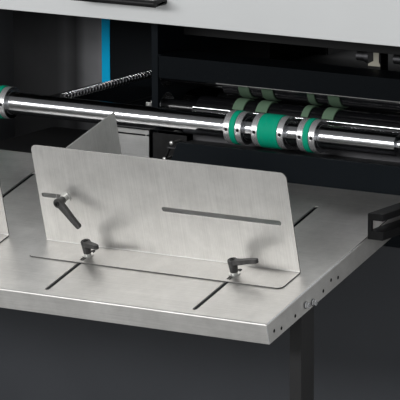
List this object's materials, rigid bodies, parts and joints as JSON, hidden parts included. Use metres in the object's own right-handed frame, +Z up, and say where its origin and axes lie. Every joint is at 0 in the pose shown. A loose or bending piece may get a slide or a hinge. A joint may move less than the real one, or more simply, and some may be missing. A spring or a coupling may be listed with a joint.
{
  "type": "cardboard grooving machine",
  "caption": "Floor-standing cardboard grooving machine: sloping slotted delivery table with clamped fences, drive shaft with rubber rings, nip rollers, hinged hood and side doors.",
  "frame": {"origin": "on the floor under the middle of the whole machine", "axes": "+X to the machine's right seen from the delivery side, +Y from the delivery table to the infeed side, +Z up"},
  "size_m": [1.68, 1.6981, 1.341],
  "materials": {
    "stainless": "brushed",
    "navy_paint": "satin",
    "cover_paint": "satin",
    "black_gloss": "gloss",
    "charcoal_paint": "satin",
    "grey_panel": "satin",
    "blue_trim": "satin",
    "polished_steel": "polished",
    "black_metal": "satin",
    "green_rubber": "matte",
    "pale_rubber": "matte",
    "dark_roller": "gloss",
    "tool_steel": "ground",
    "light_metal": "satin",
    "motor_paint": "satin",
    "belt_rubber": "matte",
    "green_button": "gloss",
    "red_button": "gloss"
  },
  "bodies": {
    "frame": {"base_frame": "charcoal_paint", "levelling_feet": "black_metal", "left_side_plate": "navy_paint", "right_side_plate": "navy_paint", "left_housing": "charcoal_paint", "right_housing": "charcoal_paint", "middle_plate": "navy_paint", "lower_beam": "navy_paint", "upper_beam": "navy_paint", "front_panel": "navy_paint", "rear_panel": "charcoal_paint", "bay_floor": "charcoal_paint", "bay_shelf": "black_gloss", "chute_plate": "stainless", "inner_panel": "grey_panel", "panel_trim": "blue_trim", "ribbed_rod": "polished_steel", "guide_plate": "stainless", "delivery_table": "stainless", "table_legs": "navy_paint", "table_bolts": "polished_steel", "table_brackets": "black_metal", "shaft_bearings": "polished_steel", "knife_beam": "light_metal", "knife_holders": "light_metal", "grooving_knives": "tool_steel", "infeed_table": "stainless", "drive_motor": "motor_paint", "drive_belt": "belt_rubber", "hood_hinges": "charcoal_paint", "control_box": "charcoal_paint"},
    "delivery_shaft": {"delivery_shaft": "polished_steel", "shaft_collars": "polished_steel", "drive_rings": "green_rubber", "drive_rollers": "green_rubber"},
    "lower_nip": {"lower_nip_roller": "dark_roller", "lower_nip_bands": "pale_rubber"},
    "upper_nip": {"upper_nip_roller": "dark_roller", "upper_nip_bands": "pale_rubber"},
    "counter_roller": {"counter_roller": "polished_steel"},
    "motor_rotor": {"motor_pulley": "tool_steel"},
    "hood": {"hood": "cover_paint", "hood_handle": "black_metal"},
    "left_door": {"left_door": "charcoal_paint"},
    "right_door": {"right_door": "charcoal_paint"},
    "start_button": {"start_button": "green_button"},
    "stop_button": {"stop_button": "red_button"},
    "emergency_stop": {"emergency_stop": "red_button"},
    "right_fence": {"right_fence": "stainless", "right_clamp_nuts": "polished_steel"},
    "right_side_guide": {"right_side_guide": "stainless"},
    "right_outer_lever": {"right_outer_lever": "black_metal"},
    "right_inner_lever": {"right_inner_lever": "black_metal"},
    "right_face_lever": {"right_face_lever": "black_metal"},
    "left_fence": {"left_fence": "stainless", "left_clamp_nuts": "polished_steel"},
    "left_side_guide": {"left_side_guide": "stainless"},
    "left_outer_lever": {"left_outer_lever": "black_metal"},
    "left_inner_lever": {"left_inner_lever": "black_metal"},
    "left_face_lever": {"left_face_lever": "black_metal"}
  },
  "joints": [
    {"name": "counter_spin", "type": "hinge", "parent": "frame", "child": "counter_roller", "pos_m": [0, -0.096, 0.987], "axis": [1, 0, 0], "continuous": true},
    {"name": "lower_nip_spin", "type": "hinge", "parent": "frame", "child": "lower_nip", "pos_m": [0, -0.18, 0.994], "axis": [1, 0, 0], "continuous": true},
    {"name": "upper_nip_spin", "type": "hinge", "parent": "frame", "child": "upper_nip", "pos_m": [0, -0.18, 1.058], "axis": [1, 0, 0], "continuous": true},
    {"name": "delivery_spin", "type": "hinge", "parent": "frame", "child": "delivery_shaft", "pos_m": [0, -0.262, 0.984], "axis": [1, 0, 0], "continuous": true},
    {"name": "motor_spin", "type": "hinge", "parent": "frame", "child": "motor_rotor", "pos_m": [0, 0, 0.43], "axis": [1, 0, 0], "continuous": true},
    {"name": "hood_swing", "type": "hinge", "parent": "frame", "child": "hood", "pos_m": [0, 0.411, 1.187], "axis": [-1, 0, 0], "range_deg": [0, 75]},
    {"name": "right_door_swing", "type": "hinge", "parent": "frame", "child": "right_door", "pos_m": [0.829, 0.389, 0.67], "axis": [0, 0, 1], "range_deg": [0, 110]},
    {"name": "left_door_swing", "type": "hinge", "parent": "frame", "child": "left_door", "pos_m": [-0.829, 0.389, 0.67], "axis": [0, 0, -1], "range_deg": [0, 110]},
    {"name": "start_button_press", "type": "slide", "parent": "frame", "child": "start_button", "axis": [0, 0.866, -0.5], "range_m": [0, 0.003], "stiffness_N_per_m": 500, "springref_m": -0.002},
    {"name": "stop_button_press", "type": "slide", "parent": "frame", "child": "stop_button", "axis": [0, 0.866, -0.5], "range_m": [0, 0.003], "stiffness_N_per_m": 500, "springref_m": -0.002},
    {"name": "emergency_stop_press", "type": "slide", "parent": "frame", "child": "emergency_stop", "axis": [0, 0.866, -0.5], "range_m": [0, 0.006], "stiffness_N_per_m": 800, "springref_m": -0.002},
    {"name": "right_fence_slide", "type": "slide", "parent": "frame", "child": "right_fence", "axis": [0, 0.9659, 0.2588], "range_m": [-0.12, 0.15]},
    {"name": "right_guide_slide", "type": "slide", "parent": "right_fence", "child": "right_side_guide", "axis": [1, 0, 0], "range_m": [-0.046, 0.003]},
    {"name": "right_outer_lever_turn", "type": "hinge", "parent": "right_fence", "child": "right_outer_lever", "pos_m": [0.48, -0.69415, 0.80409], "axis": [0, -0.2588, 0.9659], "range_deg": [-140, 20]},
    {"name": "right_inner_lever_turn", "type": "hinge", "parent": "right_fence", "child": "right_inner_lever", "pos_m": [0.16, -0.69415, 0.80409], "axis": [0, -0.2588, 0.9659], "range_deg": [-94, 36]},
    {"name": "right_face_lever_turn", "type": "hinge", "parent": "right_side_guide", "child": "right_face_lever", "pos_m": [0.104, -0.68203, 0.90569], "axis": [0, -0.9659, -0.2588], "range_deg": [-18, 112]},
    {"name": "left_fence_slide", "type": "slide", "parent": "frame", "child": "left_fence", "axis": [0, 0.9659, 0.2588], "range_m": [-0.12, 0.15]},
    {"name": "left_guide_slide", "type": "slide", "parent": "left_fence", "child": "left_side_guide", "axis": [1, 0, 0], "range_m": [-0.046, 0.003]},
    {"name": "left_outer_lever_turn", "type": "hinge", "parent": "left_fence", "child": "left_outer_lever", "pos_m": [-0.48, -0.69415, 0.80409], "axis": [0, -0.2588, 0.9659], "range_deg": [-94, 36]},
    {"name": "left_inner_lever_turn", "type": "hinge", "parent": "left_fence", "child": "left_inner_lever", "pos_m": [-0.16, -0.69415, 0.80409], "axis": [0, -0.2588, 0.9659], "range_deg": [-140, 20]},
    {"name": "left_face_lever_turn", "type": "hinge", "parent": "left_side_guide", "child": "left_face_lever", "pos_m": [-0.536, -0.68203, 0.90569], "axis": [0, -0.9659, -0.2588], "range_deg": [-18, 112]}
  ],
  "couplings": [
    {"joint": "lower_nip_spin", "follows": "counter_spin", "ratio": 1},
    {"joint": "upper_nip_spin", "follows": "counter_spin", "ratio": -1},
    {"joint": "delivery_spin", "follows": "counter_spin", "ratio": 1},
    {"joint": "motor_spin", "follows": "counter_spin", "ratio": 1}
  ]
}
